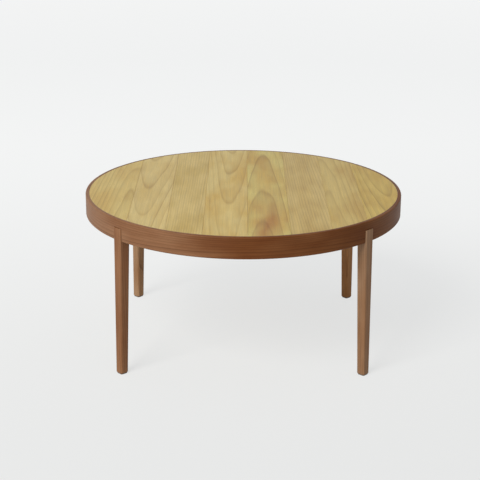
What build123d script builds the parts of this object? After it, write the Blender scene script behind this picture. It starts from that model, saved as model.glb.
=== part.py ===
"""A round folding low table: a plank top in a bent rim, on four legs that fold in under it.

Millimetres. The origin is on the floor under the middle of the top, +Z is up, +X is to
the right and -Y is the front. Every piece is drawn where it stands with the legs open.
"""

from build123d import *

import math
import os

# The whole table
TOP_RADIUS = 350
TABLE_HEIGHT = 345
RIM_HEIGHT = 46
RIM_BOTTOM = TABLE_HEIGHT - RIM_HEIGHT

# Rim hoop: a bent strip in two halves, scarfed together at the sides
HOOP_THICKNESS = 8
HOOP_INNER = TOP_RADIUS - HOOP_THICKNESS
HOOP_TOP_ROUND = 3
HOOP_EDGE = 1.2
SCARF_HALF_ANGLE = 3.5
SCARF_NIB = 1.5

# Planks: they run front to back, and these are the joints between them from left to right
GLUE_GAP = 0.2
FIELD_RADIUS = HOOP_INNER - GLUE_GAP
PLANK_THICKNESS = 13
PLANK_BOTTOM = TABLE_HEIGHT - PLANK_THICKNESS
PLANK_JOINTS = (-240, -158, -82, 9, 96, 180, 256)
TONGUE_LENGTH = 5
TONGUE_THICKNESS = 4
TONGUE_HEIGHT = PLANK_BOTTOM + PLANK_THICKNESS / 2
GROOVE_DEPTH = TONGUE_LENGTH + 0.4
PLANK_EDGE = 0.6

# Battens, each with a dovetail key on top
BATTEN_Y = 118
BATTEN_WIDTH = 44
BATTEN_THICKNESS = 10
BATTEN_BOTTOM = PLANK_BOTTOM - BATTEN_THICKNESS
BATTEN_HALF_LENGTH = 262
BATTEN_NOSE = 6
BATTEN_EDGE = 1.5
KEY_HEIGHT = 5
KEY_WIDTH = 26
KEY_TOP_WIDTH = 32

# Ring behind the rim, in curved blocks
RING_INNER = 316
RING_BOTTOM = RIM_BOTTOM + 2
RING_HEIGHT = PLANK_BOTTOM - RING_BOTTOM
RING_EDGE = 2
SPLINE_WIDTH = 16
SPLINE_THICKNESS = 4
SPLINE_REACH = 12
SPLINE_HEIGHT = RING_BOTTOM + RING_HEIGHT / 2

# Legs: where they stand, and their size at the head and the foot
LEG_AZIMUTHS = {
    "back_right": 42,
    "back_left": 138,
    "front_left": 222,
    "front_right": 318,
}
HEAD_WIDTH = 24
HEAD_EDGE = 3
HEAD_RADIUS = 340
FOOT_WIDTH = 20
FOOT_EDGE = 5
FOOT_RADIUS = 347
FOOT_CHAMFER = 1
PAD_WIDTH = 17
PAD_THICKNESS = 2.5
PAD_CORNER = 3

# Pivot: pin, bush and the slot that the leg turns in
PIVOT_RADIUS = 335
PIVOT_HEIGHT = 313
HEAD_REACH = 13
PIN_RADIUS = 3
PIN_HALF_LENGTH = 30
BUSH_RADIUS = 4
BUSH_BORE_RADIUS = PIN_RADIUS + 0.05
SIDE_PLAY = 0.4
SLOT_WIDTH = HEAD_WIDTH + 2 * SIDE_PLAY
STOP_BOTTOM = PIVOT_HEIGHT + HEAD_REACH + 0.2

# Catch: a steel leaf from the underside of the top down to the back of the leg
LEAF_WIDTH = 18
LEAF_THICKNESS = 1.2
LEAF_START = 252
LEAF_BEND = 280
LEAF_BEND_RADIUS = 12
LEAF_TIP = HEAD_RADIUS - HEAD_WIDTH / 2 - 0.7
LEAF_TIP_HEIGHT = 303
LEAF_MIDDLE = PLANK_BOTTOM - LEAF_THICKNESS / 2

# Screws: shank radius, head radius, head height and length in the wood. A batten has one
# screw, at its middle, so that the planks can swell and shrink along its key.
RING_SCREW = (2, 4, 2.6, 39)
RING_SCREW_RADIUS = 329
RING_SCREW_ANGLE = 12
BATTEN_SCREW = (1.75, 3.6, 2.4, 15)
BATTEN_SCREW_X = (PLANK_JOINTS[2] + PLANK_JOINTS[3]) / 2
CATCH_SCREW = (1.5, 3, 1.8, 9)
CATCH_SCREW_RADIUS = 262
CATCH_SCREW_OFFSET = 5

REACH = 2 * TOP_RADIUS


def spoke(azimuth, height=0.0):
    """Level plane at a height, with its X axis pointing outwards along an azimuth."""
    angle = math.radians(azimuth)
    outwards = (math.cos(angle), math.sin(angle), 0)
    return Plane(origin=(0, 0, height), x_dir=outwards, z_dir=(0, 0, 1))


def wall(azimuth):
    """Upright plane through the middle, with X outwards along an azimuth and Y upwards."""
    angle = math.radians(azimuth)
    outwards = (math.cos(angle), math.sin(angle), 0)
    across = (math.sin(angle), -math.cos(angle), 0)
    return Plane(origin=(0, 0, 0), x_dir=outwards, z_dir=across)


def polar(radius, azimuth):
    """Point at a radius and an azimuth, as a flat vector."""
    angle = math.radians(azimuth)
    return Vector(radius * math.cos(angle), radius * math.sin(angle))


def save(part, name):
    """Labels a finished piece and writes it as parts/NAME.step."""
    part.label = name
    export_step(part, f"parts/{name}.step")


def ring_screw_places():
    """Where the ring's screws stand, seen from above: one in each block, near its leg."""
    places = []
    for leg_azimuth in LEG_AZIMUTHS.values():
        for side in (1, -1):
            places.append(polar(RING_SCREW_RADIUS, leg_azimuth + side * RING_SCREW_ANGLE))
    return places


def catch_screw_places():
    """Where the catch screws stand, seen from above: two side by side on each leaf."""
    places = []
    for leg_azimuth in LEG_AZIMUTHS.values():
        across = polar(CATCH_SCREW_OFFSET, leg_azimuth + 90)
        places.append(polar(CATCH_SCREW_RADIUS, leg_azimuth) + across)
        places.append(polar(CATCH_SCREW_RADIUS, leg_azimuth) - across)
    return places


def batten_screw_places():
    """Where the batten screws stand, seen from above: one in each batten."""
    return [Vector(BATTEN_SCREW_X, y) for y in (-BATTEN_Y, BATTEN_Y)]


def at_height(places, height):
    """The same places, lifted to a height."""
    return [(place.X, place.Y, height) for place in places]


def key_profile(y):
    """Section of a dovetail key or its groove: narrow at the planks' underside."""
    low = PLANK_BOTTOM
    high = PLANK_BOTTOM + KEY_HEIGHT
    Polygon(
        (y - KEY_WIDTH / 2, low),
        (y + KEY_WIDTH / 2, low),
        (y + KEY_TOP_WIDTH / 2, high),
        (y - KEY_TOP_WIDTH / 2, high),
        align=None,
    )


def make_plank(number, left, right):
    """One plank: tongue on its right edge, groove in its left edge, trimmed to the round top."""
    with BuildPart() as plank:
        with BuildSketch(Plane.XZ) as section:
            with Locations(((left + right) / 2, PLANK_BOTTOM + PLANK_THICKNESS / 2)):
                Rectangle(right - left, PLANK_THICKNESS)
            chamfer(section.vertices().group_by(Axis.Y)[-1], length=PLANK_EDGE)
            with Locations((right + TONGUE_LENGTH / 2, TONGUE_HEIGHT)):
                Rectangle(TONGUE_LENGTH, TONGUE_THICKNESS)
            with Locations((left + GROOVE_DEPTH / 2, TONGUE_HEIGHT)):
                Rectangle(GROOVE_DEPTH, TONGUE_THICKNESS, mode=Mode.SUBTRACT)
        extrude(amount=REACH / 2, both=True)
        with BuildSketch(Plane.XY.offset(PLANK_BOTTOM)):
            Circle(FIELD_RADIUS)
        extrude(amount=PLANK_THICKNESS, mode=Mode.INTERSECT)
        with BuildSketch(Plane.YZ):
            key_profile(-BATTEN_Y)
            key_profile(BATTEN_Y)
        extrude(amount=REACH / 2, both=True, mode=Mode.SUBTRACT)
        bore_plank(ring_screw_places(), RING_SCREW, RING_BOTTOM)
        bore_plank(batten_screw_places(), BATTEN_SCREW, BATTEN_BOTTOM)
        bore_plank(catch_screw_places(), CATCH_SCREW, PLANK_BOTTOM - LEAF_THICKNESS)
    save(plank.part, f"top_plank_{number}")


def bore_plank(places, screw, seat):
    """Pilot holes in the planks for screws whose heads sit at one height."""
    shank_radius = screw[0]
    screw_length = screw[3]
    depth = seat + screw_length - PLANK_BOTTOM
    with Locations(*at_height(places, PLANK_BOTTOM + depth / 2)):
        Cylinder(shank_radius, depth, mode=Mode.SUBTRACT)


def make_batten(name, y):
    """A batten: a flat bar with nosed ends below, a dovetail key as long as its groove above."""
    with BuildPart() as batten:
        with BuildSketch(Plane.XZ.offset(-y)) as side:
            with Locations((0, BATTEN_BOTTOM + BATTEN_THICKNESS / 2)):
                Rectangle(2 * BATTEN_HALF_LENGTH, BATTEN_THICKNESS)
            chamfer(side.vertices().group_by(Axis.Y)[0], length=BATTEN_NOSE)
        extrude(amount=BATTEN_WIDTH / 2, both=True)
        long_edges = batten.edges().filter_by(Axis.X)
        fillet(long_edges.group_by(Axis.Z)[0], BATTEN_EDGE)
        with BuildSketch(Plane.YZ):
            key_profile(y)
        extrude(amount=REACH / 2, both=True)
        with BuildSketch(Plane.XY.offset(BATTEN_BOTTOM)):
            Circle(FIELD_RADIUS)
        extrude(amount=BATTEN_THICKNESS + KEY_HEIGHT, mode=Mode.INTERSECT)
        countersunk(batten_screw_places(), BATTEN_SCREW, BATTEN_BOTTOM, Mode.SUBTRACT)
    save(batten.part, name)


def countersunk(places, screw, seat, mode):
    """Countersunk screws, or the holes they fill, with their heads level at the seat."""
    shank_radius, head_radius, head_height, screw_length = screw
    upwards = (Align.CENTER, Align.CENTER, Align.MIN)
    with Locations(*at_height(places, seat)):
        Cylinder(shank_radius, screw_length, align=upwards, mode=mode)
        Cone(head_radius, shank_radius, head_height, align=upwards, mode=mode)


def make_hoop(name, facing):
    """Half of the rim hoop. Its ends are cut on the slant and lap those of the other half."""
    with BuildPart() as hoop:
        with BuildSketch(wall(facing + 180)) as section:
            with Locations((TOP_RADIUS - HOOP_THICKNESS / 2, RIM_BOTTOM + RIM_HEIGHT / 2)):
                Rectangle(HOOP_THICKNESS, RIM_HEIGHT)
            top_outer = section.vertices().group_by(Axis.Y)[-1].sort_by(Axis.X)[-1]
            fillet(top_outer, HOOP_TOP_ROUND)
            chamfer(section.vertices().group_by(Axis.Y)[0], length=HOOP_EDGE)
        revolve(axis=Axis.Z)
        with BuildSketch(spoke(facing, RIM_BOTTOM)):
            Polygon(*half_outline(), align=None)
        extrude(amount=RIM_HEIGHT, mode=Mode.INTERSECT)
        for leg_azimuth in LEG_AZIMUTHS.values():
            with BuildSketch(spoke(leg_azimuth, RIM_BOTTOM)):
                with Locations((TOP_RADIUS, 0)):
                    Rectangle(4 * HOOP_THICKNESS, SLOT_WIDTH)
            extrude(amount=STOP_BOTTOM - RIM_BOTTOM, mode=Mode.SUBTRACT)
    save(hoop.part, name)


def half_outline():
    """Outline that keeps one half of the hoop: at each end a slanted scarf with square nibs."""
    first_azimuth = -90 - SCARF_HALF_ANGLE
    first_end_azimuth = -90 + SCARF_HALF_ANGLE
    last_azimuth = 90 - SCARF_HALF_ANGLE
    last_end_azimuth = 90 + SCARF_HALF_ANGLE
    return (
        polar(HOOP_INNER - SCARF_NIB, first_azimuth),
        polar(HOOP_INNER + SCARF_NIB, first_azimuth),
        polar(TOP_RADIUS - SCARF_NIB, first_end_azimuth),
        polar(TOP_RADIUS + SCARF_NIB, first_end_azimuth),
        (REACH, -REACH),
        (REACH, REACH),
        polar(TOP_RADIUS + SCARF_NIB, last_end_azimuth),
        polar(TOP_RADIUS - SCARF_NIB, last_end_azimuth),
        polar(HOOP_INNER + SCARF_NIB, last_azimuth),
        polar(HOOP_INNER - SCARF_NIB, last_azimuth),
    )


def make_ring_block(name, leg_azimuth, side, sweep):
    """A curved block from the cheek beside a leg to the butt joint that is sweep degrees on.

    Side is 1 where the block lies anticlockwise of the leg, and -1 where it lies clockwise.
    """
    joint_azimuth = leg_azimuth + side * sweep
    cheek = SLOT_WIDTH / 2
    slope = math.tan(math.radians(sweep))
    with BuildPart() as block:
        with BuildSketch(spoke(leg_azimuth, RING_BOTTOM)):
            Circle(FIELD_RADIUS)
            Circle(RING_INNER, mode=Mode.SUBTRACT)
            corners = [(cheek / slope, cheek), (REACH, cheek), (REACH, REACH * slope)]
            Polygon(*[(x, side * y) for x, y in corners], align=None, mode=Mode.INTERSECT)
        extrude(amount=RING_HEIGHT)
        inner_edges = block.edges().filter_by(GeomType.CIRCLE).group_by(Axis.Z)[0]
        chamfer(inner_edges.sort_by(SortBy.LENGTH)[0], length=RING_EDGE)
        with BuildSketch(wall(leg_azimuth)):
            with Locations((PIVOT_RADIUS, PIVOT_HEIGHT)):
                Circle(PIN_RADIUS)
        extrude(amount=PIN_HALF_LENGTH, both=True, mode=Mode.SUBTRACT)
        with BuildSketch(spoke(joint_azimuth, SPLINE_HEIGHT - SPLINE_THICKNESS / 2)):
            with Locations(((RING_INNER + FIELD_RADIUS) / 2, 0)):
                Rectangle(SPLINE_WIDTH, 2 * SPLINE_REACH)
        extrude(amount=SPLINE_THICKNESS, mode=Mode.SUBTRACT)
        countersunk(ring_screw_places(), RING_SCREW, RING_BOTTOM, Mode.SUBTRACT)
    save(block.part, name)


def make_splines():
    """The four loose splines, one in each butt joint of the ring."""
    with BuildPart() as splines:
        with BuildSketch(Plane.XY.offset(SPLINE_HEIGHT - SPLINE_THICKNESS / 2)):
            with PolarLocations((RING_INNER + FIELD_RADIUS) / 2, 4):
                Rectangle(SPLINE_WIDTH, 2 * SPLINE_REACH)
        extrude(amount=SPLINE_THICKNESS)
    save(splines.part, "ring_splines")


def make_leg_stop(name, leg_azimuth):
    """The block that closes the top of a leg's slot. The leg's head stops against it."""
    with BuildPart() as stop:
        with BuildSketch(spoke(leg_azimuth, STOP_BOTTOM)):
            Circle(FIELD_RADIUS)
            Circle(RING_INNER, mode=Mode.SUBTRACT)
            with Locations((TOP_RADIUS, 0)):
                Rectangle(4 * (TOP_RADIUS - RING_INNER), SLOT_WIDTH, mode=Mode.INTERSECT)
        extrude(amount=PLANK_BOTTOM - STOP_BOTTOM)
    save(stop.part, name)


def make_leg(name, leg_azimuth):
    """A leg: square head, tapered shaft that leans out a little, and a hole for the bush."""
    with BuildPart() as leg:
        with BuildSketch(spoke(leg_azimuth, PAD_THICKNESS)):
            with Locations((FOOT_RADIUS, 0)):
                RectangleRounded(FOOT_WIDTH, FOOT_WIDTH, FOOT_EDGE)
        with BuildSketch(spoke(leg_azimuth, RIM_BOTTOM)):
            with Locations((HEAD_RADIUS, 0)):
                RectangleRounded(HEAD_WIDTH, HEAD_WIDTH, HEAD_EDGE)
        loft()
        chamfer(leg.faces().sort_by(Axis.Z)[0].edges(), length=FOOT_CHAMFER)
        with BuildSketch(spoke(leg_azimuth, RIM_BOTTOM)):
            with Locations((HEAD_RADIUS, 0)):
                RectangleRounded(HEAD_WIDTH, HEAD_WIDTH, HEAD_EDGE)
        extrude(amount=PIVOT_HEIGHT + HEAD_REACH - RIM_BOTTOM)
        with BuildSketch(wall(leg_azimuth)):
            with Locations((PIVOT_RADIUS, PIVOT_HEIGHT)):
                Rectangle(HEAD_WIDTH, HEAD_WIDTH, align=(Align.MAX, Align.MIN))
                Circle(HEAD_REACH, mode=Mode.SUBTRACT)
        extrude(amount=HEAD_WIDTH, both=True, mode=Mode.SUBTRACT)
        with BuildSketch(wall(leg_azimuth)):
            with Locations((PIVOT_RADIUS, PIVOT_HEIGHT)):
                Circle(BUSH_RADIUS)
        extrude(amount=HEAD_WIDTH, both=True, mode=Mode.SUBTRACT)
    save(leg.part, name)


def make_bush(name, leg_azimuth):
    """The brass bush in a leg's head."""
    with BuildPart() as bush:
        with BuildSketch(wall(leg_azimuth)):
            with Locations((PIVOT_RADIUS, PIVOT_HEIGHT)):
                Circle(BUSH_RADIUS)
                Circle(BUSH_BORE_RADIUS, mode=Mode.SUBTRACT)
        extrude(amount=HEAD_WIDTH / 2, both=True)
    save(bush.part, name)


def make_foot_pad(name, leg_azimuth):
    """The felt pad under a foot, a square with its corners cut off."""
    with BuildPart() as pad:
        with BuildSketch(spoke(leg_azimuth)) as outline:
            with Locations((FOOT_RADIUS, 0)):
                Rectangle(PAD_WIDTH, PAD_WIDTH)
            chamfer(outline.vertices(), length=PAD_CORNER)
        extrude(amount=PAD_THICKNESS)
    save(pad.part, name)


def make_pivot_pin(name, leg_azimuth):
    """The steel pin that a leg turns on."""
    with BuildPart() as pin:
        with BuildSketch(wall(leg_azimuth)):
            with Locations((PIVOT_RADIUS, PIVOT_HEIGHT)):
                Circle(PIN_RADIUS)
        extrude(amount=PIN_HALF_LENGTH, both=True)
    save(pin.part, name)


def make_catch_spring(name, leg_azimuth):
    """The steel leaf behind a leg: flat under the planks, then bent down to its tip."""
    with BuildPart() as leaf:
        with BuildSketch(wall(leg_azimuth)):
            with BuildLine():
                FilletPolyline(
                    (LEAF_START, LEAF_MIDDLE),
                    (LEAF_BEND, LEAF_MIDDLE),
                    (LEAF_TIP, LEAF_TIP_HEIGHT),
                    radius=LEAF_BEND_RADIUS,
                )
                offset(amount=LEAF_THICKNESS / 2, side=Side.BOTH)
            make_face()
        extrude(amount=LEAF_WIDTH / 2, both=True)
        with Locations(*at_height(catch_screw_places(), LEAF_MIDDLE)):
            Cylinder(CATCH_SCREW[0], 2 * LEAF_THICKNESS, mode=Mode.SUBTRACT)
    save(leaf.part, name)


def make_countersunk_screws(name, places, screw, seat):
    """A group of countersunk screws, driven upwards."""
    with BuildPart() as screws:
        countersunk(places, screw, seat, Mode.ADD)
    save(screws.part, name)


def make_catch_screws():
    """The pan-head screws of the leaves, driven upwards with their heads below the leaf."""
    shank_radius, head_radius, head_height, screw_length = CATCH_SCREW
    upwards = (Align.CENTER, Align.CENTER, Align.MIN)
    downwards = (Align.CENTER, Align.CENTER, Align.MAX)
    with BuildPart() as screws:
        with Locations(*at_height(catch_screw_places(), PLANK_BOTTOM - LEAF_THICKNESS)):
            Cylinder(shank_radius, screw_length, align=upwards)
            Cylinder(head_radius, head_height, align=downwards)
    save(screws.part, "catch_screws")


os.makedirs("parts", exist_ok=True)

plank_edges = (-TOP_RADIUS, *PLANK_JOINTS, TOP_RADIUS)
for index, (left_edge, right_edge) in enumerate(zip(plank_edges, plank_edges[1:]), start=1):
    make_plank(index, left_edge, right_edge)

make_batten("batten_front", -BATTEN_Y)
make_batten("batten_back", BATTEN_Y)
make_hoop("rim_hoop_front", -90)
make_hoop("rim_hoop_back", 90)
make_splines()

for place, azimuth in LEG_AZIMUTHS.items():
    depth_side, width_side = place.split("_")
    to_side_joint = abs((azimuth + 90) % 180 - 90)
    turn = 1 if (depth_side == "back") == (width_side == "right") else -1
    make_ring_block(f"ring_{depth_side}_{width_side}", azimuth, turn, 90 - to_side_joint)
    make_ring_block(f"ring_{width_side}_{depth_side}", azimuth, -turn, to_side_joint)
    make_leg_stop(f"leg_stop_{place}", azimuth)
    make_leg(f"leg_{place}", azimuth)
    make_bush(f"leg_bush_{place}", azimuth)
    make_foot_pad(f"foot_pad_{place}", azimuth)
    make_pivot_pin(f"pivot_pin_{place}", azimuth)
    make_catch_spring(f"catch_spring_{place}", azimuth)

make_countersunk_screws("ring_screws", ring_screw_places(), RING_SCREW, RING_BOTTOM)
make_countersunk_screws("batten_screws", batten_screw_places(), BATTEN_SCREW, BATTEN_BOTTOM)
make_catch_screws()
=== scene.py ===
# %% [markdown]
# # A round folding low table
#
# The table is a plank top held in a bent rim, on four slim legs that each fold in under
# the top. Its pieces already exist as solids at their real size, so this notebook loads
# them, gives every surface the finish of the real material, and models again the few
# small parts that need softer shapes than the solids have: the steel leaves that lock
# the legs, the screws and the felt pads.

import math

import bmesh
import bpy
from mathutils import Matrix, Vector


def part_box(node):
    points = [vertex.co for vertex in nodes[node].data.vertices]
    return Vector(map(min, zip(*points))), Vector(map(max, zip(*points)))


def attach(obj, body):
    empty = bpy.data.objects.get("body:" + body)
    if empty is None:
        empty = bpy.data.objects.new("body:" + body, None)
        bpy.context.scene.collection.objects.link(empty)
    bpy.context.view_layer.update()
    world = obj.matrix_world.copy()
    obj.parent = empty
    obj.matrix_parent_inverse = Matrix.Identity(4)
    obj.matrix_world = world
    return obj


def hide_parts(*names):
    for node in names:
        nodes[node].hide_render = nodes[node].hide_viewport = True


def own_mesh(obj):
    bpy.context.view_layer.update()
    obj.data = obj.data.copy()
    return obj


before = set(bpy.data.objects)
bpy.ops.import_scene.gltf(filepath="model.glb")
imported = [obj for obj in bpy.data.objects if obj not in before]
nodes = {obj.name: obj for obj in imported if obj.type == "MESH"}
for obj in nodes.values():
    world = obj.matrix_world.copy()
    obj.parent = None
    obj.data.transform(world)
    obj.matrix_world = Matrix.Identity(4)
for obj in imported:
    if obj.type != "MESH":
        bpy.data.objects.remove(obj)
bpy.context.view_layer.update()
MM = 0.001
print("pieces:", len(nodes))

# %% [markdown]
# ## Colours and nodes
#
# A colour is written as the sRGB hex value that a painter would pick from a swatch, and
# Blender's sockets want linear light, so one function turns the first into the second.
#
# Materials are trees of nodes. One more function adds a node of any kind, sets what is
# given as a number or a swatch, and links what is given as another node. It fills the
# inputs in the order in which the editor shows them on the node, or by their names. A Map
# Range node, which is used a lot below, so takes a value, the range that it is in and the
# range to bring it to.

# %% Colour and node helpers
def linear(swatch):
    """Linear RGBA of an sRGB hex value such as "#c8a878"."""
    channels = [int(swatch[i:i + 2], 16) / 255 for i in (1, 3, 5)]
    return [
        *(c / 12.92 if c <= 0.04045 else ((c + 0.055) / 1.055) ** 2.4 for c in channels),
        1.0,
    ]


def add(tree, kind, inputs=(), stops=(), **settings):
    """Adds a node with its settings, fills or links its inputs, and returns it.

    An input is a number, a swatch, an output of another node, or a node, which stands for
    the first output that it shows. Stops are a colour ramp's (position, swatch) pairs.
    """
    made = tree.nodes.new(kind)
    for name, value in settings.items():
        setattr(made, name, value)
    if not isinstance(inputs, dict):
        shown = [index for index, socket in enumerate(made.inputs) if socket.enabled]
        inputs = dict(zip(shown, inputs))
    for name, value in inputs.items():
        if isinstance(value, bpy.types.Node):
            value = next(output for output in value.outputs if output.enabled)
        if isinstance(value, bpy.types.NodeSocket):
            tree.links.new(value, made.inputs[name])
        else:
            number = linear(value) if isinstance(value, str) else value
            made.inputs[name].default_value = number
    if stops:
        elements = made.color_ramp.elements
        while len(elements) < len(stops):
            elements.new(0.5)
        for element, (position, swatch) in zip(elements, stops):
            element.position = position
            element.color = linear(swatch)
    return made


def new_material(name):
    """An empty node material and its tree."""
    material = bpy.data.materials.new(name)
    material.use_nodes = True
    material.node_tree.nodes.clear()
    return material, material.node_tree


print("mid grey in linear light:", round(linear("#808080")[0], 3))

# %% [markdown]
# ## How wood is drawn
#
# A board is cut from a cylinder of growth rings, so its figure is found by measuring how
# far a point lies from the tree's pith. Where that distance crosses a ring, the wood is
# denser and darker. With the pith a little out of line with the board, the rings meet
# the face as long arches. On top of that come fine fibres along the grain.
#
# The grain follows the shape of each piece, so the point is first written as three
# distances: across the grain, along the grain, and through the thickness. For the planks
# these are plain X, Y and Z. For the rim they are the radius, the way round, and Z.

# %% Grain coordinates
def straight_grain(tree, turn=(0, 0, 0)):
    """Coordinates for a straight piece, turned in degrees so that Y is along the grain."""
    point = add(tree, "ShaderNodeTexCoord").outputs["Object"]
    angles = [math.radians(angle) for angle in turn]
    return add(tree, "ShaderNodeMapping", {"Vector": point, "Rotation": angles})


def round_grain(tree, facing, radius):
    """Coordinates for a bent piece: radius, way round from where it faces, and height."""
    turned = straight_grain(tree, turn=(0, 0, -facing))
    split = add(tree, "ShaderNodeSeparateXYZ", [turned]).outputs
    angle = add(tree, "ShaderNodeMath", [split["Y"], split["X"]], operation="ARCTAN2")
    around = add(tree, "ShaderNodeMath", [angle, radius], operation="MULTIPLY")
    level = add(tree, "ShaderNodeVectorMath", [turned, (1, 1, 0)], operation="MULTIPLY")
    out = add(tree, "ShaderNodeVectorMath", [level], operation="LENGTH")
    return add(tree, "ShaderNodeCombineXYZ", [out, around, split["Z"]])


# %% [markdown]
# The rings themselves: the point is pushed about by a slow noise, because no tree is
# perfectly round, then its distance from the pith is divided by the ring spacing. The
# fraction that is left climbs slowly through the pale early wood and drops at once after
# the dark late wood, which is what gives real grain its hard edge on one side.

# %% Growth rings
RING_PROFILE = [
    (0.0, "#202020"),
    (0.40, "#484848"),
    (0.80, "#b4b4b4"),
    (0.92, "#ffffff"),
    (1.0, "#303030"),
]
PUSHES_PER_METRE = (11, 1.8, 11)


def growth_rings(tree, point, pith, tilt, spacing, wander):
    """How dark the ring is at a point, 0 to 1, and the count of rings from the pith.

    Pith, spacing and wander are in metres, and tilt is in degrees.
    """
    moved = add(
        tree,
        "ShaderNodeMapping",
        {"Vector": point, "Location": pith, "Rotation": [math.radians(a) for a in tilt]},
    )
    slow = add(tree, "ShaderNodeVectorMath", [moved, PUSHES_PER_METRE], operation="MULTIPLY")
    noise = add(
        tree,
        "ShaderNodeTexNoise",
        {"Vector": slow, "Scale": 1.0, "Detail": 2.5, "Roughness": 0.4},
    ).outputs["Color"]
    centred = add(
        tree, "ShaderNodeVectorMath", [noise, (0.5, 0.5, 0.5)], operation="SUBTRACT"
    )
    pushed = add(
        tree,
        "ShaderNodeVectorMath",
        [centred, (wander, 0, wander), moved],
        operation="MULTIPLY_ADD",
    )
    across = add(tree, "ShaderNodeVectorMath", [pushed, (1, 0, 1)], operation="MULTIPLY")
    distance = add(tree, "ShaderNodeVectorMath", [across], operation="LENGTH")
    count = add(tree, "ShaderNodeMath", [distance, spacing], operation="DIVIDE")
    within = add(tree, "ShaderNodeMath", [count], operation="FRACT")
    return add(tree, "ShaderNodeValToRGB", [within], stops=RING_PROFILE), count


print("stops in the profile of a ring:", len(RING_PROFILE))

# %% [markdown]
# Trees don't grow evenly. The whole number of rings from the pith is the year, and a slow
# noise along the years makes some rings bolder than others. Slow patches drift to a second
# tone, as they do where a tree took up minerals.

# %% Tone of the rings, and patches
PATCH = (55 * MM, 160 * MM)
YEARS_TO_NOISE = 0.45


def stretched_noise(tree, point, across, along, seed=0.0, detail=3.0):
    """Noise in streaks along Y. Across and along are a streak's size in metres."""
    placed = add(
        tree,
        "ShaderNodeMapping",
        {
            "Vector": point,
            "Location": (seed, seed * 0.7, seed * 0.3),
            "Scale": (1 / across, 1 / along, 1 / across),
        },
    )
    return add(
        tree,
        "ShaderNodeTexNoise",
        {"Vector": placed, "Scale": 1.0, "Detail": detail, "Roughness": 0.55},
    )


def ring_tones(tree, ring, count, early, late):
    """Early wood, with its rings in the tone of late wood, some bolder than others."""
    years = add(tree, "ShaderNodeMath", [count, YEARS_TO_NOISE], operation="MULTIPLY")
    year = add(
        tree,
        "ShaderNodeTexNoise",
        {"W": years, "Scale": 1.0, "Detail": 2.0},
        noise_dimensions="1D",
    )
    bold = add(tree, "ShaderNodeMapRange", [year, 0.3, 0.7, 0.27, 0.75])
    dark = add(tree, "ShaderNodeMath", [ring, bold], operation="MULTIPLY")
    return add(tree, "ShaderNodeMix", [dark, early, late], data_type="RGBA")


def add_patches(tree, point, colour, drift, seed):
    """Slow patches where the wood drifts to a second tone."""
    noise = stretched_noise(tree, point, *PATCH, seed, detail=2.0)
    patch = add(tree, "ShaderNodeMapRange", [noise, 0.38, 0.66, 0, 0.8])
    return add(
        tree,
        "ShaderNodeMix",
        [patch, colour, drift],
        data_type="RGBA",
        blend_type="MULTIPLY",
    )


# %% [markdown]
# Heartwood can run through one plank as a reddish flame, and on the rim the same streak
# is painted shade: it darkens the stretches that get less light. Both are a wide streak
# along the grain that is soft at its sides and fades at one end.

# %% A flame in the wood, or painted shade on the rim
STREAK_WAVE = (90 * MM, 240 * MM)
STREAK_SWAY = 30 * MM
STREAK_DEPTH = 0.85


# Used for a real flame on a plank, and for painted shade on the rim.
def add_flame_or_shade(tree, point, colour, swatch, middle, half_width, start, end):
    """Darkens a streak by a swatch: fully at start and beyond it, and no more at end.

    Places are in mm. The middle is across the grain, and start and end are along it.
    """
    split = add(tree, "ShaderNodeSeparateXYZ", [point]).outputs
    wave = stretched_noise(tree, point, *STREAK_WAVE, seed=3.0, detail=2.0)
    sway = add(tree, "ShaderNodeMapRange", [wave, 0.2, 0.8, -STREAK_SWAY, STREAK_SWAY])
    aside = add(tree, "ShaderNodeMath", [sway, split["X"]], operation="ADD")
    off = add(tree, "ShaderNodeMath", [aside, middle * MM], operation="SUBTRACT")
    off = add(tree, "ShaderNodeMath", [off], operation="ABSOLUTE")
    side = add(tree, "ShaderNodeMapRange", [off, 0, half_width * MM, STREAK_DEPTH, 0])
    along = add(tree, "ShaderNodeMapRange", [split["Y"], end * MM, start * MM, 0, 1])
    over = add(tree, "ShaderNodeMath", [side, along], operation="MULTIPLY")
    return add(
        tree,
        "ShaderNodeMix",
        [over, colour, swatch],
        data_type="RGBA",
        blend_type="MULTIPLY",
    )


# %% [markdown]
# Along the grain run the fibres, which show as fine streaks, and the pores, which show as
# short dark dashes where the early wood is cut lengthwise. Real fibres are far too fine
# for a picture of a whole table, so they are drawn about a millimetre wide.

# %% Fibres and pores
FIBRE = (1.1 * MM, 70 * MM)
BAND = (5 * MM, 260 * MM)
PORE = (0.8 * MM, 9 * MM)


def fibres(tree, point, ring, seed):
    """The fibres and the pores, and how much of the light both of them leave."""
    fibre = stretched_noise(tree, point, *FIBRE, seed)
    band = stretched_noise(tree, point, *BAND, seed + 5)
    dash = stretched_noise(tree, point, *PORE, seed + 9)
    fine = add(tree, "ShaderNodeMapRange", [fibre, 0.3, 0.7, 0.88, 1.08])
    broad = add(tree, "ShaderNodeMapRange", [band, 0.3, 0.7, 0.94, 1.05])
    shade = add(tree, "ShaderNodeMath", [fine, broad], operation="MULTIPLY")
    open_pore = add(tree, "ShaderNodeMapRange", [dash, 0.58, 0.70, 0, 1])
    early_here = add(tree, "ShaderNodeMapRange", [ring, 0.35, 0.08, 0, 0.22])
    depth = add(tree, "ShaderNodeMath", [open_pore, early_here], operation="MULTIPLY")
    pore = add(tree, "ShaderNodeMapRange", [depth, 0, 1, 1, 0])
    return fibre, pore, add(tree, "ShaderNodeMath", [shade, pore], operation="MULTIPLY")


# %% [markdown]
# ## Lacquered and stained wood
#
# All the wood shares one recipe: the rings, patches, fibres and pores above, under a thin
# satin lacquer. Sharp edges of old lacquered wood catch the light because they are a
# little rounded and rubbed paler. A Bevel node knows how near an edge is, so it gives both
# the soft highlight and the rubbed tone.

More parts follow.
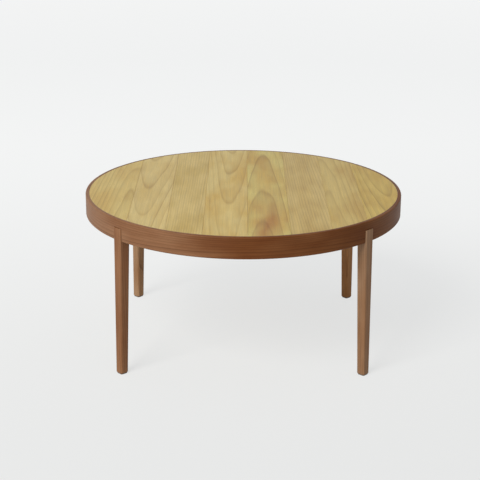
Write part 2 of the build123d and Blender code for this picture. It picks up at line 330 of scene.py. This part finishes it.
# %% Wood recipe
def wood(name, point_of, swatches, pith, spacing, tilt=(0, 0, 0), wander=12 * MM,
         roughness=0.42, shine=0.12, coat=0.04, edge=0.8 * MM, seed=0.0, flame_or_shade=None):
    """A wood finish. The swatches are its early wood, late wood, drift and rubbed edges."""
    early, late, drift, rubbed = swatches
    material, tree = new_material(name)
    point = point_of(tree)
    ring, count = growth_rings(tree, point, pith, tilt, spacing, wander)
    colour = ring_tones(tree, ring, count, early, late)
    colour = add_patches(tree, point, colour, drift, seed)
    if flame_or_shade:
        colour = add_flame_or_shade(tree, point, colour, *flame_or_shade)
    fibre, pore, shade = fibres(tree, point, ring, seed)
    colour = add(tree, "ShaderNodeVectorMath", [colour, shade], operation="SCALE")

    soft = add(tree, "ShaderNodeBevel", {"Radius": edge}, samples=4)
    face = add(tree, "ShaderNodeNewGeometry").outputs["Normal"]
    level = add(tree, "ShaderNodeVectorMath", [soft, face], operation="DOT_PRODUCT")
    wear = add(tree, "ShaderNodeMapRange", [level, 0.995, 0.80, 0, 0.7])
    colour = add(tree, "ShaderNodeMix", [wear, colour, rubbed], data_type="RGBA")

    height = add(tree, "ShaderNodeMath", [fibre, pore], operation="MULTIPLY")
    bump = add(
        tree,
        "ShaderNodeBump",
        {"Strength": 0.12, "Distance": 0.3 * MM, "Height": height, "Normal": soft},
    )
    rough = add(
        tree, "ShaderNodeMapRange", [fibre, 0.2, 0.8, roughness - 0.05, roughness + 0.08]
    )
    shader = add(
        tree,
        "ShaderNodeBsdfPrincipled",
        {
            "Base Color": colour,
            "Roughness": rough,
            "Normal": bump,
            "IOR": 1.5,
            "Specular IOR Level": shine,
            "Coat Weight": coat,
            "Coat Roughness": 0.25,
        },
    )
    add(tree, "ShaderNodeOutputMaterial", {"Surface": shader})
    return material


def dress(piece, material):
    """Puts one material on a piece, in place of whatever it had."""
    piece.data.materials.clear()
    piece.data.materials.append(material)


# %% [markdown]
# ## The top
#
# Eight planks of a golden hardwood such as zelkova, planed and finished in clear satin
# lacquer. Planks from one tree differ, so each has its own tone, its own place in the
# log and its own patches. The plank right of the middle joint has a reddish flame near
# the front. The pith lies some centimetres below the planks, and how far it lies to the
# side of a plank decides whether that plank shows arches or straight lines.

# %% Plank tones: early wood, late wood, drift, pith to the side in m, ring spacing in mm
PLANKS = {
    1: ("#cbb36e", "#997d3d", "#f0e2c8", 0.045, 6.5),
    2: ("#cdb677", "#a28448", "#f2e8d0", -0.012, 6.0),
    3: ("#ccb371", "#9c8142", "#e4dcb8", 0.080, 4.5),
    4: ("#ccb573", "#a38542", "#f0dca6", 0.008, 7.0),
    5: ("#c8b56a", "#92773c", "#ecd0a8", -0.010, 6.5),
    6: ("#c6ac6b", "#94783b", "#e2d8be", 0.070, 4.5),
    7: ("#c4ab66", "#97793b", "#ecdebe", -0.030, 6.0),
    8: ("#c6aa59", "#917735", "#e4d6b6", 0.020, 6.5),
}
PLANK_RUBBED = "#d8c494"
PLANK_FLAMES = {5: ("#d0a078", 55, 35, -260, 50)}
PITH_SHIFT, PITH_DEPTH, PITH_STEP = 0.11, 0.055, 0.018
TILTS_ALONG = (-1.8, 1.5)
TILTS_ROUND = (-0.4, 0.3, 0.3)

# %% Dress the planks
for number, (early, late, drift, side, spacing) in PLANKS.items():
    plank = nodes[f"top_plank_{number}"]
    low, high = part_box(plank.name)
    middle = (low.x + high.x) / 2
    depth = PITH_DEPTH + PITH_STEP * (number % 3)
    finish = wood(
        f"planed_zelkova_clear_lacquer_{number}",
        straight_grain,
        (early, late, drift, PLANK_RUBBED),
        pith=(-(middle + side), PITH_SHIFT * number, depth - high.z),
        spacing=spacing * MM,
        tilt=(TILTS_ALONG[number % 2], 0, TILTS_ROUND[number % 3]),
        wander=15 * MM,
        seed=1.7 * number,
        flame_or_shade=PLANK_FLAMES.get(number),
    )
    dress(plank, finish)
print("planks dressed:", len(PLANKS))

# %% [markdown]
# ## Rim, ring and legs
#
# The rim is a strip bent to a circle and stained brown. Its grain runs all the way
# round, so it is drawn with round coordinates. Each half measures its way round from
# where it faces, which puts the jump of the angle on the half that it doesn't cover. The
# front's right and most of the back are painted darker. This is painted shade, standing in
# for the rim getting less light there than on the left of the front.
#
# The ring behind the rim is the same wood left without lacquer.

# %% Dress the rim and the ring
RIM_RADIUS, RING_RADIUS = 0.35, 0.33
RIM_TONES = ("#8d674b", "#5d3e2b", "#d8c0a8", "#a07650")
RING_TONES = ("#8f6b4b", "#6a4a30", "#dcc8b0", "#a5835f")
# The streak on each hoop is painted shade: its swatch darkens the stretch that gets less
# light.
RIM_HOOPS = {
    "rim_hoop_front": (-90, ("#cba773", 350, 200, 0, -150)),
    "rim_hoop_back": (90, ("#bcae9c", 350, 200, 300, 500)),
}


def facing_grain(facing, radius):
    """Round coordinates for a piece that faces one way."""
    return lambda tree: round_grain(tree, facing, radius)


for name, (facing, flame_or_shade) in RIM_HOOPS.items():
    finish = wood(
        f"bent_ash_brown_stain_{name}",
        facing_grain(facing, RIM_RADIUS),
        RIM_TONES,
        pith=(-0.30, 0, -0.29),
        spacing=3.2 * MM,
        wander=16 * MM,
        roughness=0.44,
        shine=0.06,
        coat=0.02,
        edge=1.2 * MM,
        seed=3.1 + facing,
        flame_or_shade=flame_or_shade,
    )
    dress(nodes[name], finish)

ring_pieces = [n for n in nodes if n.startswith("ring_") and n != "ring_screws"]
for name in ring_pieces:
    low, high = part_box(name)
    facing = math.degrees(math.atan2(low.y + high.y, low.x + high.x))
    finish = wood(
        f"sawn_ash_brown_stain_{name}",
        facing_grain(round(facing), RING_RADIUS),
        RING_TONES,
        pith=(-0.25, 0, -0.30),
        spacing=4 * MM,
        roughness=0.62,
        coat=0.0,
        seed=facing / 40,
    )
    dress(nodes[name], finish)
print("rim and ring pieces dressed:", len(RIM_HOOPS) + len(ring_pieces))

# %% [markdown]
# The legs are planed from the same wood and stained to match the rim, with the grain
# along them. Each leg's tones are painted light and shade: set lighter or darker for how
# much light should reach that leg. The stops that close the leg slots are made of
# offcuts, so they share the recipe. The battens under the top are plain stained cedar.

# %% Dress the legs, the stops and the battens
# Painted light and shade: each leg's pair of tones is lighter or darker for how lit that leg
# should look.
LEG_TONES_PAINTED_LIGHT = {
    "leg_front_left": ("#8e6546", "#66412a"),
    "leg_front_right": ("#9c7c60", "#6f513c"),
    "leg_back_left": ("#a78565", "#78583f"),
    "leg_back_right": ("#b58254", "#815634"),
}
STOP_TONE = ("#96704f", "#6b4930")
LEG_DRIFT, LEG_RUBBED = "#dcc6ae", "#b18a66"
BATTEN_TONES = ("#94714f", "#6e4e33", "#dcc8b0", "#a8866a")


def upright_grain(tree):
    """Coordinates for a leg: Y runs up the leg."""
    return straight_grain(tree, turn=(90, 0, 0))


def cross_grain(tree):
    """Coordinates for a batten: Y runs along the batten, from side to side."""
    return straight_grain(tree, turn=(0, 0, 90))


for index, name in enumerate(n for n in sorted(nodes) if n.startswith("leg_")):
    if name.startswith("leg_bush"):
        continue
    early, late = LEG_TONES_PAINTED_LIGHT.get(name, STOP_TONE)
    finish = wood(
        f"planed_ash_brown_stain_{name}",
        upright_grain,
        (early, late, LEG_DRIFT, LEG_RUBBED),
        pith=(0.02 * index - 0.3, 0, 0.21),
        spacing=4.5 * MM,
        tilt=(0.9, 0, 1.4),
        wander=10 * MM,
        edge=1.2 * MM,
        seed=0.9 * index,
    )
    dress(nodes[name], finish)

for name in ("batten_front", "batten_back"):
    finish = wood(
        f"planed_cedar_brown_stain_{name}",
        cross_grain,
        BATTEN_TONES,
        pith=(0.05, 0, -0.25),
        spacing=4 * MM,
        tilt=(1.5, 0, 0.5),
        roughness=0.6,
        coat=0.0,
        seed=2.3,
    )
    dress(nodes[name], finish)
print("legs dressed:", len(LEG_TONES_PAINTED_LIGHT))

# %% [markdown]
# ## Metal
#
# The pins are drawn steel, the leaves are blued spring steel, the bushes are turned
# brass and the screws are yellow zinc plate. Metal takes its look from what it reflects,
# so its colour is one value on the shader and the life is in the roughness.

# %% Metal finishes
def metal(name, swatch, roughness, mark_width, streaked=False):
    """A metal with the fine marks of its making, drawn out level where it is streaked.

    The marks' width is in metres.
    """
    material, tree = new_material(name)
    point = add(tree, "ShaderNodeTexCoord").outputs["Object"]
    stretch = [share / mark_width for share in ((1, 1, 8) if streaked else (1, 1, 1))]
    marks = add(
        tree,
        "ShaderNodeTexNoise",
        {
            "Vector": add(
                tree, "ShaderNodeVectorMath", [point, stretch], operation="MULTIPLY"
            ),
            "Scale": 1.0,
            "Detail": 3.0,
            "Roughness": 0.6,
        },
    )
    rough = add(
        tree, "ShaderNodeMapRange", [marks, 0, 1, roughness - 0.08, roughness + 0.12]
    )
    bump = add(
        tree,
        "ShaderNodeBump",
        {"Strength": 0.15, "Distance": 0.05 * MM, "Height": marks},
    )
    shader = add(
        tree,
        "ShaderNodeBsdfPrincipled",
        {"Base Color": swatch, "Metallic": 1.0, "Roughness": rough, "Normal": bump},
    )
    add(tree, "ShaderNodeOutputMaterial", {"Surface": shader})
    return material


drawn_steel = metal("drawn_steel", "#c6c8ca", 0.32, 0.6 * MM, streaked=True)
spring_steel = metal("blued_spring_steel", "#6d7480", 0.38, 0.5 * MM)
turned_brass = metal("turned_brass", "#d9b568", 0.3, 0.4 * MM, streaked=True)
zinc_plate = metal("yellow_zinc_plate", "#d8c07c", 0.34, 0.4 * MM)

for name, node in nodes.items():
    if name.startswith("pivot_pin"):
        dress(node, drawn_steel)
    if name.startswith("leg_bush"):
        dress(node, turned_brass)
print("metals:", drawn_steel.name, spring_steel.name, turned_brass.name, zinc_plate.name)

# %% [markdown]
# ## Making new pieces
#
# The solids of the leaves, screws and felt pads are plain, so those pieces are modelled
# again here, in millimetres. Leaves and pads are drawn on a leg's own axes, X outwards, Y
# across and Z up, then turned to their leg, and screws are drawn on the table's axes. The
# object itself stays at the origin and unturned: its place is in its mesh, like the place
# of every solid.

# %% Helpers for new pieces
LEG_AZIMUTHS = {
    "back_right": 42,
    "back_left": 138,
    "front_left": 222,
    "front_right": 318,
}


def turn_to(azimuth):
    """Matrix from a leg's own axes in millimetres to the table's in metres."""
    return Matrix.Rotation(math.radians(azimuth), 4, "Z") @ Matrix.Scale(MM, 4)


def verts_in(result):
    """The vertices that a bmesh operator says it made."""
    return [item for item in result["geom"] if isinstance(item, bmesh.types.BMVert)]


def bevel_parts(shape, parts, offset, segments, affect="EDGES"):
    """Rounds edges of a bmesh, or its vertices."""
    bmesh.ops.bevel(
        shape,
        geom=parts,
        affect=affect,
        offset=offset,
        offset_type="OFFSET",
        segments=segments,
        profile=0.5,
        material=-1,
    )


def finish_piece(shape, name, material, body, replaced):
    """Makes an object of a bmesh and says what it rides on and which solids it stands for."""
    bmesh.ops.remove_doubles(shape, verts=shape.verts[:], dist=0.001 * MM)
    bmesh.ops.recalc_face_normals(shape, faces=shape.faces[:])
    mesh = bpy.data.meshes.new(name)
    shape.to_mesh(mesh)
    open_edges = sum(1 for edge in shape.edges if len(edge.link_faces) != 2)
    shape.free()
    mesh.materials.append(material)
    piece = bpy.data.objects.new(name, mesh)
    bpy.context.scene.collection.objects.link(piece)
    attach(piece, body)
    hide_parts(replaced)
    print(name, "faces:", len(mesh.polygons), "open edges:", open_edges)
    return piece


def smooth_shade(piece, angle=35, flat_area=30 * MM * MM):
    """Shades a piece smoothly, apart from large flat faces and edges above an angle."""
    for face in piece.data.polygons:
        face.use_smooth = face.area < flat_area
    piece.data.set_sharp_from_angle(angle=math.radians(angle))


# %% [markdown]
# ## The leaves that lock the legs
#
# Behind each open leg a steel leaf reaches down from the underside of the top, and its tip
# stands in the leg's way until a finger presses it up. It is cut from strip with its ends
# rounded and bent twice. The strip starts as a line of points seen from the side.
# Extruding the line gives the sheet, a bevel of its corners gives the cut outline, and a
# bevel of each fold gives the bend its radius.

# %% Cut and bend the strip
LEAF_LINE = [(252, 330.75), (280, 330.75), (326, 303.4), (326, 300.9)]
LEAF_WIDTH = 18
LEAF_TIP_SHARE = 0.68
END_RADIUS, TIP_RADIUS = 3.0, 1.2
FOLD_OFFSET = 3.3
LIP_OFFSET = 1.0


def bent_strip():
    """The leaf's sheet before it has a thickness."""
    shape = bmesh.new()
    tip_x, tip_z = LEAF_LINE[-1]
    line = [shape.verts.new((x, -LEAF_WIDTH / 2, z)) for x, z in LEAF_LINE]
    edges = [shape.edges.new(pair) for pair in zip(line, line[1:])]
    sheet = bmesh.ops.extrude_edge_only(shape, edges=edges)
    bmesh.ops.translate(shape, verts=verts_in(sheet), vec=(0, LEAF_WIDTH, 0))
    tip = [v for v in shape.verts if v.co.x > tip_x - 1]
    bmesh.ops.scale(shape, verts=tip, vec=(1, LEAF_TIP_SHARE, 1))

    corners = [v for v in shape.verts if len(v.link_edges) == 2]
    corners.sort(key=lambda v: v.co.x)
    bevel_parts(shape, corners[:2], END_RADIUS, 6, "VERTICES")
    corners = [v for v in shape.verts if v.co.z < tip_z + 0.1]
    bevel_parts(shape, corners, TIP_RADIUS, 5, "VERTICES")

    folds = [e for e in shape.edges if len(e.link_faces) == 2]
    folds.sort(key=lambda e: e.verts[0].co.x)
    bevel_parts(shape, folds[:1], FOLD_OFFSET, 6)
    lip = [
        e
        for e in shape.edges
        if len(e.link_faces) == 2 and min(v.co.x for v in e.verts) > tip_x - 0.5
    ]
    bevel_parts(shape, lip, LIP_OFFSET, 4)
    shape.normal_update()
    return shape


# %% [markdown]
# A shallow dish is pressed up into the slope to keep it stiff. Two insets, one inside the
# other, mark the dish and its slanted wall, the floor is moved up, and a bevel softens
# both rims of the wall. Solidify then gives the sheet its thickness. It adds it behind the
# faces, so they are turned up first and the sheet grows downwards, which leaves its flat
# end just over a millimetre clear of the planks.

# %% Press the leaf and give it its thickness
DISH_MARGIN, DISH_WALL = 3.0, 1.1
DISH_DEPTH = 1.0
DISH_ROUNDING = 0.55
LEAF_THICKNESS = 1.2
SHEARED_EDGE_ANGLE = 60
SHEARED_EDGE_ROUNDING = 0.2


def press_dish(shape):
    """Presses a dish up into the slope of the leaf."""
    floor = max(shape.faces, key=lambda f: f.calc_area() * abs(f.normal.x))
    bmesh.ops.inset_region(shape, faces=[floor], thickness=DISH_MARGIN, use_boundary=True)
    wall = bmesh.ops.inset_region(shape, faces=[floor], thickness=DISH_WALL)["faces"]
    rims = [e for e in shape.edges if sum(f in wall for f in e.link_faces) == 1]
    bmesh.ops.translate(shape, verts=floor.verts[:], vec=floor.normal * -DISH_DEPTH)
    bevel_parts(shape, rims, DISH_ROUNDING, 3)


def thicken(shape):
    """Gives the sheet its thickness, downwards, and dulls its sheared edges."""
    bmesh.ops.recalc_face_normals(shape, faces=shape.faces[:])
    if max(shape.faces, key=lambda f: f.calc_area()).normal.z < 0:
        bmesh.ops.reverse_faces(shape, faces=shape.faces[:])
    bmesh.ops.solidify(shape, geom=shape.faces[:], thickness=LEAF_THICKNESS)
    sharp = [
        e
        for e in shape.edges
        if len(e.link_faces) == 2
        and e.calc_face_angle() > math.radians(SHEARED_EDGE_ANGLE)
    ]
    bevel_parts(shape, sharp, SHEARED_EDGE_ROUNDING, 2)


# %% [markdown]
# When a leg folds, its leaf is pressed up against the top. Here each leaf is made as it
# stands behind the open leg, and it rides on the top.


def make_leaf(place, azimuth):
    """The steel leaf behind one leg."""
    shape = bent_strip()
    press_dish(shape)
    thicken(shape)
    shape.transform(turn_to(azimuth))
    leaf = finish_piece(
        shape,
        f"locking_leaf_{place}",
        spring_steel,
        "tabletop",
        f"catch_spring_{place}",
    )
    smooth_shade(leaf)
    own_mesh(leaf)


for place, azimuth in LEG_AZIMUTHS.items():
    make_leaf(place, azimuth)

# %% [markdown]
# ## Screws
#
# The heads of the screws are what shows: flat ones sunk level with the wood in the ring
# and the battens, and low round ones on the leaves. All have a cross recess. The head's
# face starts as a grid of nine squares, of which the corner four are taken away, so that
# a cross is left. A circle round it is filled up to the cross, the cross is pushed into
# the head, and the circle's edge is drawn on through the head's sides down the shank,
# a ring of edges at a time.

# %% One screw
HEAD_SIDES = 28
RECESS_TAPER = 0.72


def draw_on(shape, ring, radius, height):
    """Extrudes a ring of edges to a new radius and height, and returns the new ring."""
    made = bmesh.ops.extrude_edge_only(shape, edges=ring)
    verts = verts_in(made)
    now = verts[0].co.xy.length
    bmesh.ops.scale(shape, verts=verts, vec=(radius / now, radius / now, 1))
    bmesh.ops.translate(shape, verts=verts, vec=(0, 0, height - verts[0].co.z))
    return [
        e
        for e in made["geom"]
        if isinstance(e, bmesh.types.BMEdge) and all(v in verts for v in e.verts)
    ]


def cross_grid(shape, arm, arm_width):
    """A level cross in a bmesh, made of five squares. Returns its faces."""
    bmesh.ops.create_grid(shape, x_segments=3, y_segments=3, size=arm)
    for vert in shape.verts:
        for axis in (0, 1):
            if abs(vert.co[axis]) < arm / 2:
                vert.co[axis] = math.copysign(arm_width / 2, vert.co[axis])
    corners = [
        f
        for f in shape.faces
        if min(abs(c) for c in f.calc_center_median().xy) > arm_width / 2
    ]
    bmesh.ops.delete(shape, geom=corners, context="FACES")
    return shape.faces[:]


def make_screw(name, face_radius, outline, arm, arm_width, recess_depth):
    """A screw pointing up, its face at height 0. The outline is (radius, height) pairs."""
    shape = bmesh.new()
    cross = cross_grid(shape, arm, arm_width)
    cross_edge = [e for e in shape.edges if e.is_boundary]
    bmesh.ops.create_circle(shape, segments=HEAD_SIDES, radius=face_radius)
    ring = [e for e in shape.edges if e.is_wire]
    bmesh.ops.triangle_fill(shape, edges=cross_edge + ring, use_beauty=True)
    pushed = bmesh.ops.extrude_face_region(shape, geom=cross)
    bmesh.ops.delete(shape, geom=cross, context="FACES_KEEP_BOUNDARY")
    bmesh.ops.translate(shape, verts=verts_in(pushed), vec=(0, 0, recess_depth))
    bmesh.ops.scale(shape, verts=verts_in(pushed), vec=(RECESS_TAPER, RECESS_TAPER, 1))
    for radius, height in outline:
        ring = draw_on(shape, ring, radius, height)
    bmesh.ops.edgeloop_fill(shape, edges=ring)
    bmesh.ops.recalc_face_normals(shape, faces=shape.faces[:])
    mesh = bpy.data.meshes.new(name)
    shape.to_mesh(mesh)
    shape.free()
    return mesh


# %% The three kinds of screw: face radius, outline, and the cross's reach, width and depth
SCREWS = {
    "flat_4_mm": (3.8, [(4.0, 0.15), (2.0, 2.6), (2.0, 35), (0.4, 38.9)], 1.9, 0.8, 1.6),
    "flat_3_5_mm": (3.4, [(3.6, 0.15), (1.75, 2.4), (1.75, 12), (0.4, 14.9)], 1.7, 0.7, 1.4),
    "round_3_mm": (
        2.0,
        [(2.45, 0.15), (2.8, 0.5), (3.0, 1.0), (3.0, 1.8), (1.5, 1.8), (1.5, 8), (0.4, 10.7)],
        1.35,
        0.6,
        1.1,
    ),
}
screws = {name: make_screw(name, *sizes) for name, sizes in SCREWS.items()}
print("faces of one screw:", {name: len(mesh.polygons) for name, mesh in screws.items()})

# %% [markdown]
# Nobody lines the recesses up, so each screw is turned to an angle of its own. Turning by
# the golden angle from one to the next spreads them with no chance in it.

# %% Groups of screws
GOLDEN_ANGLE = 137.5
RING_FACE, BATTEN_FACE, LEAF_FACE = 301, 322, 329
RING_SCREW_RADIUS, RING_SCREW_ANGLE = 329, 12
LEAF_SCREW_RADIUS, LEAF_SCREW_ASIDE = 262, 5
BATTEN_SCREW_PLACES = [(-36.5, -118), (-36.5, 118)]


def polar(radius, azimuth):
    """Level point at a radius and an azimuth in degrees."""
    angle = math.radians(azimuth)
    return Vector((radius * math.cos(angle), radius * math.sin(angle)))


def make_screws(name, kind, places, height, replaced):
    """Copies one screw to places in millimetres, with the heads' faces at a height."""
    shape = bmesh.new()
    for index, place in enumerate(places):
        count = len(shape.verts)
        shape.from_mesh(screws[kind])
        shape.verts.ensure_lookup_table()
        turned = Matrix.Rotation(math.radians(GOLDEN_ANGLE * index), 4, "Z")
        bmesh.ops.transform(
            shape,
            matrix=Matrix.Translation((*place, height)) @ turned,
            verts=shape.verts[count:],
        )
    shape.transform(turn_to(0))
    piece = finish_piece(shape, name, zinc_plate, "tabletop", replaced)
    smooth_shade(piece)


ring_places = [
    polar(RING_SCREW_RADIUS, azimuth + side * RING_SCREW_ANGLE)
    for azimuth in LEG_AZIMUTHS.values()
    for side in (1, -1)
]
leaf_places = [
    polar(LEAF_SCREW_RADIUS, azimuth) + polar(side * LEAF_SCREW_ASIDE, azimuth + 90)
    for azimuth in LEG_AZIMUTHS.values()
    for side in (1, -1)
]
make_screws("flat_screws_ring", "flat_4_mm", ring_places, RING_FACE, "ring_screws")
make_screws(
    "flat_screws_battens", "flat_3_5_mm", BATTEN_SCREW_PLACES, BATTEN_FACE, "batten_screws"
)
make_screws("round_screws_leaves", "round_3_mm", leaf_places, LEAF_FACE, "catch_screws")
for mesh in screws.values():
    bpy.data.meshes.remove(mesh)

# %% [markdown]
# ## Felt pads
#
# Each foot stands on a pad of pressed wool felt, so that it doesn't mark a mat or scratch a
# floor. Felt has no sharp edge anywhere, so a cube is scaled to the pad and a bevel rounds
# first its upright edges, then the level ones. The felt is matted wool: rough, uneven in
# tone, and with the faint bloom at its edge that the shader calls sheen.

# %% Felt
TUFT_WIDTH = 0.7 * MM


def pressed_felt():
    """Brown wool felt: rough, with a matted surface and no shine."""
    material, tree = new_material("pressed_wool_felt")
    tufts = add(
        tree,
        "ShaderNodeTexNoise",
        {
            "Vector": add(tree, "ShaderNodeTexCoord").outputs["Object"],
            "Scale": 1 / TUFT_WIDTH,
            "Detail": 5.0,
            "Roughness": 0.7,
        },
    )
    colour = add(
        tree, "ShaderNodeValToRGB", [tufts], stops=[(0.3, "#453a30"), (0.7, "#75665a")]
    )
    bump = add(
        tree,
        "ShaderNodeBump",
        {"Strength": 0.6, "Distance": 0.3 * MM, "Height": tufts},
    )
    shader = add(
        tree,
        "ShaderNodeBsdfPrincipled",
        {
            "Base Color": colour,
            "Roughness": 0.95,
            "Normal": bump,
            "Sheen Weight": 0.4,
            "Sheen Roughness": 0.5,
        },
    )
    add(tree, "ShaderNodeOutputMaterial", {"Surface": shader})
    return material


# %% Pads
FOOT_RADIUS = 347
PAD_WIDTH = 17
PAD_THICKNESS = 2.5
PAD_CORNER = 3.6
PAD_ROUNDING = 0.8


def make_pad(place, azimuth, felt):
    """The felt pad under one foot."""
    shape = bmesh.new()
    bmesh.ops.create_cube(shape, size=1)
    bmesh.ops.scale(shape, verts=shape.verts[:], vec=(PAD_WIDTH, PAD_WIDTH, PAD_THICKNESS))
    bmesh.ops.translate(
        shape, verts=shape.verts[:], vec=(FOOT_RADIUS, 0, PAD_THICKNESS / 2)
    )
    upright = [e for e in shape.edges if abs(e.verts[0].co.z - e.verts[1].co.z) > 1]
    bevel_parts(shape, upright, PAD_CORNER, 6)
    level = [e for e in shape.edges if abs(e.verts[0].co.z - e.verts[1].co.z) < 0.1]
    rims = [e for e in level if any(abs(f.normal.z) < 0.5 for f in e.link_faces)]
    bevel_parts(shape, rims, PAD_ROUNDING, 4)
    shape.transform(turn_to(azimuth))
    pad = finish_piece(
        shape, f"felt_pad_{place}", felt, f"leg_{place}", f"foot_pad_{place}"
    )
    smooth_shade(pad, 60)


felt = pressed_felt()
for place, azimuth in LEG_AZIMUTHS.items():
    make_pad(place, azimuth, felt)

# %% [markdown]
# ## The studio
#
# A plain pale floor, a broad soft lamp high in front on the left, and an even pale sky.
# The lamp is large, so that shadows have wide soft edges. Lamp and sky together give a
# level surface about as much light as makes a colour render as it is written.
#
# A studio floor is lit far beyond the object until it is nearly white, and that light
# doesn't reach the object. Light Path's camera ray stands for it: what the camera sees of
# the floor is a share of its own shaded surface, which keeps the shadow, and for the rest
# a near-white glow. The glow's gradient is painted light: darker towards the front and
# brighter towards the back, as if the far floor got more light. Shiny things see the same
# floor, by the glossy and transmission rays. Far out the floor fades into the backdrop, so
# no horizon shows. Seen from below the floor is clear, so that the underside of the table
# can be looked at.

# %% What the camera sees of the studio
def seen_directly(tree):
    """1 for a ray from the camera, a reflection or a clear thing, 0 for soft light."""
    path = add(tree, "ShaderNodeLightPath").outputs
    seen = path["Is Camera Ray"]
    for ray in ("Is Glossy Ray", "Is Transmission Ray"):
        seen = add(tree, "ShaderNodeMath", [seen, path[ray]], operation="MAXIMUM")
    return seen


# %% Floor
FLOOR_HALF = 14.0
FLOOR_PAINT = "#e6e7e7"
# Painted light: the floor's glow is darker near the front and brighter far back.
FLOOR_PAINTED_LIGHT = [(0.0, "#e7e8e8"), (1.0, "#feffff")]
FLOOR_NEAR, FLOOR_FAR = -1.3, 2.0
FLOOR_GLOW = 0.78
FADE_START, FADE_END = 3.5, 9.0
BACKDROP = "#f9f9f9"


def pale_paint():
    """Pale matt paint that the camera sees nearly white, but for the shadow on it and for
    painted light, darker towards the front.
    """
    material, tree = new_material("pale_painted_floor")
    paint = add(
        tree,
        "ShaderNodeBsdfPrincipled",
        {"Base Color": FLOOR_PAINT, "Roughness": 0.9, "Specular IOR Level": 0.1},
    )
    point = add(tree, "ShaderNodeTexCoord").outputs["Object"]
    depth = add(tree, "ShaderNodeSeparateXYZ", [point]).outputs["Y"]
    way_back = add(
        tree,
        "ShaderNodeMapRange",
        [depth, FLOOR_NEAR, FLOOR_FAR],
        interpolation_type="SMOOTHSTEP",
    )
    tone = add(tree, "ShaderNodeValToRGB", [way_back], stops=FLOOR_PAINTED_LIGHT)
    out = add(tree, "ShaderNodeVectorMath", [point], operation="LENGTH")
    fade = add(tree, "ShaderNodeMapRange", [out, FADE_START, FADE_END, 0, 1])
    tone = add(tree, "ShaderNodeMix", [fade, tone, BACKDROP], data_type="RGBA")
    glow = add(tree, "ShaderNodeEmission", [tone])
    glowing = add(tree, "ShaderNodeMapRange", [fade, 0, 1, FLOOR_GLOW, 1])
    share = add(
        tree, "ShaderNodeMath", [seen_directly(tree), glowing], operation="MULTIPLY"
    )
    above = add(tree, "ShaderNodeMixShader", [share, paint, glow])
    clear = add(tree, "ShaderNodeBsdfTransparent")
    behind = add(tree, "ShaderNodeNewGeometry").outputs["Backfacing"]
    both = add(tree, "ShaderNodeMixShader", [behind, above, clear])
    add(tree, "ShaderNodeOutputMaterial", {"Surface": both})
    return material


def make_floor():
    """A pale level floor under the table's feet."""
    shape = bmesh.new()
    bmesh.ops.create_grid(shape, x_segments=1, y_segments=1, size=FLOOR_HALF)
    mesh = bpy.data.meshes.new("studio_floor")
    shape.to_mesh(mesh)
    shape.free()
    mesh.materials.append(pale_paint())
    floor = bpy.data.objects.new("studio_floor", mesh)
    bpy.context.scene.collection.objects.link(floor)


make_floor()
print("floor across in m:", 2 * FLOOR_HALF)

# %% Lamp
KEY_PLACE = (-2.9, -4.0, 4.2)
KEY_TARGET = (0, 0, 0.3)
KEY_SIZE = 3.0
KEY_POWER = 350
KEY_TINT = "#fffdf9"


def make_key_light():
    """A square soft lamp that faces the table."""
    data = bpy.data.lights.new("key_light", "AREA")
    data.shape = "SQUARE"
    data.size = KEY_SIZE
    data.energy = KEY_POWER
    data.color = linear(KEY_TINT)[:3]
    lamp = bpy.data.objects.new("key_light", data)
    bpy.context.scene.collection.objects.link(lamp)
    lamp.location = KEY_PLACE
    aim = Vector(KEY_TARGET) - Vector(KEY_PLACE)
    lamp.rotation_euler = aim.to_track_quat("-Z", "Y").to_euler()


make_key_light()
print("lamp to table in m:", round((Vector(KEY_TARGET) - Vector(KEY_PLACE)).length, 2))

# %% Sky
SKY_TINT = "#f4f6f7"
SKY_STRENGTH = 0.41


def make_sky():
    """An even sky that lights softly and is seen as a near-white backdrop."""
    world = bpy.data.worlds.new("pale_sky")
    world.use_nodes = True
    tree = world.node_tree
    tree.nodes.clear()
    soft = add(tree, "ShaderNodeBackground", [SKY_TINT, SKY_STRENGTH])
    backdrop = add(tree, "ShaderNodeBackground", [BACKDROP, 1.0])
    mixed = add(tree, "ShaderNodeMixShader", [seen_directly(tree), soft, backdrop])
    add(tree, "ShaderNodeOutputWorld", {"Surface": mixed})
    bpy.context.scene.world = world


make_sky()
print("sky strength:", SKY_STRENGTH)

# %% [markdown]
# ## The camera
#
# A long lens from well back and a little over a metre up keeps the table's ellipse calm.
# The camera looks down at it by a bit over 18 degrees.

# %% Camera
LENS = 97.5
SENSOR = 36.0
CAMERA_PLACE = (-0.007, -2.790, 1.147)
LOOK_DOWN = 18.3
ROLL = 0.32


def make_camera():
    """The camera for the main view."""
    data = bpy.data.cameras.new("main_camera")
    data.lens = LENS
    data.sensor_width = SENSOR
    camera = bpy.data.objects.new("main_camera", data)
    bpy.context.scene.collection.objects.link(camera)
    aim = Matrix.Rotation(math.radians(90 - LOOK_DOWN), 4, "X")
    roll = Matrix.Rotation(math.radians(ROLL), 4, "Z")
    camera.matrix_world = Matrix.Translation(CAMERA_PLACE) @ aim @ roll
    bpy.context.scene.camera = camera


make_camera()
bpy.context.scene.view_settings.view_transform = "Standard"
print("lens in mm:", LENS)
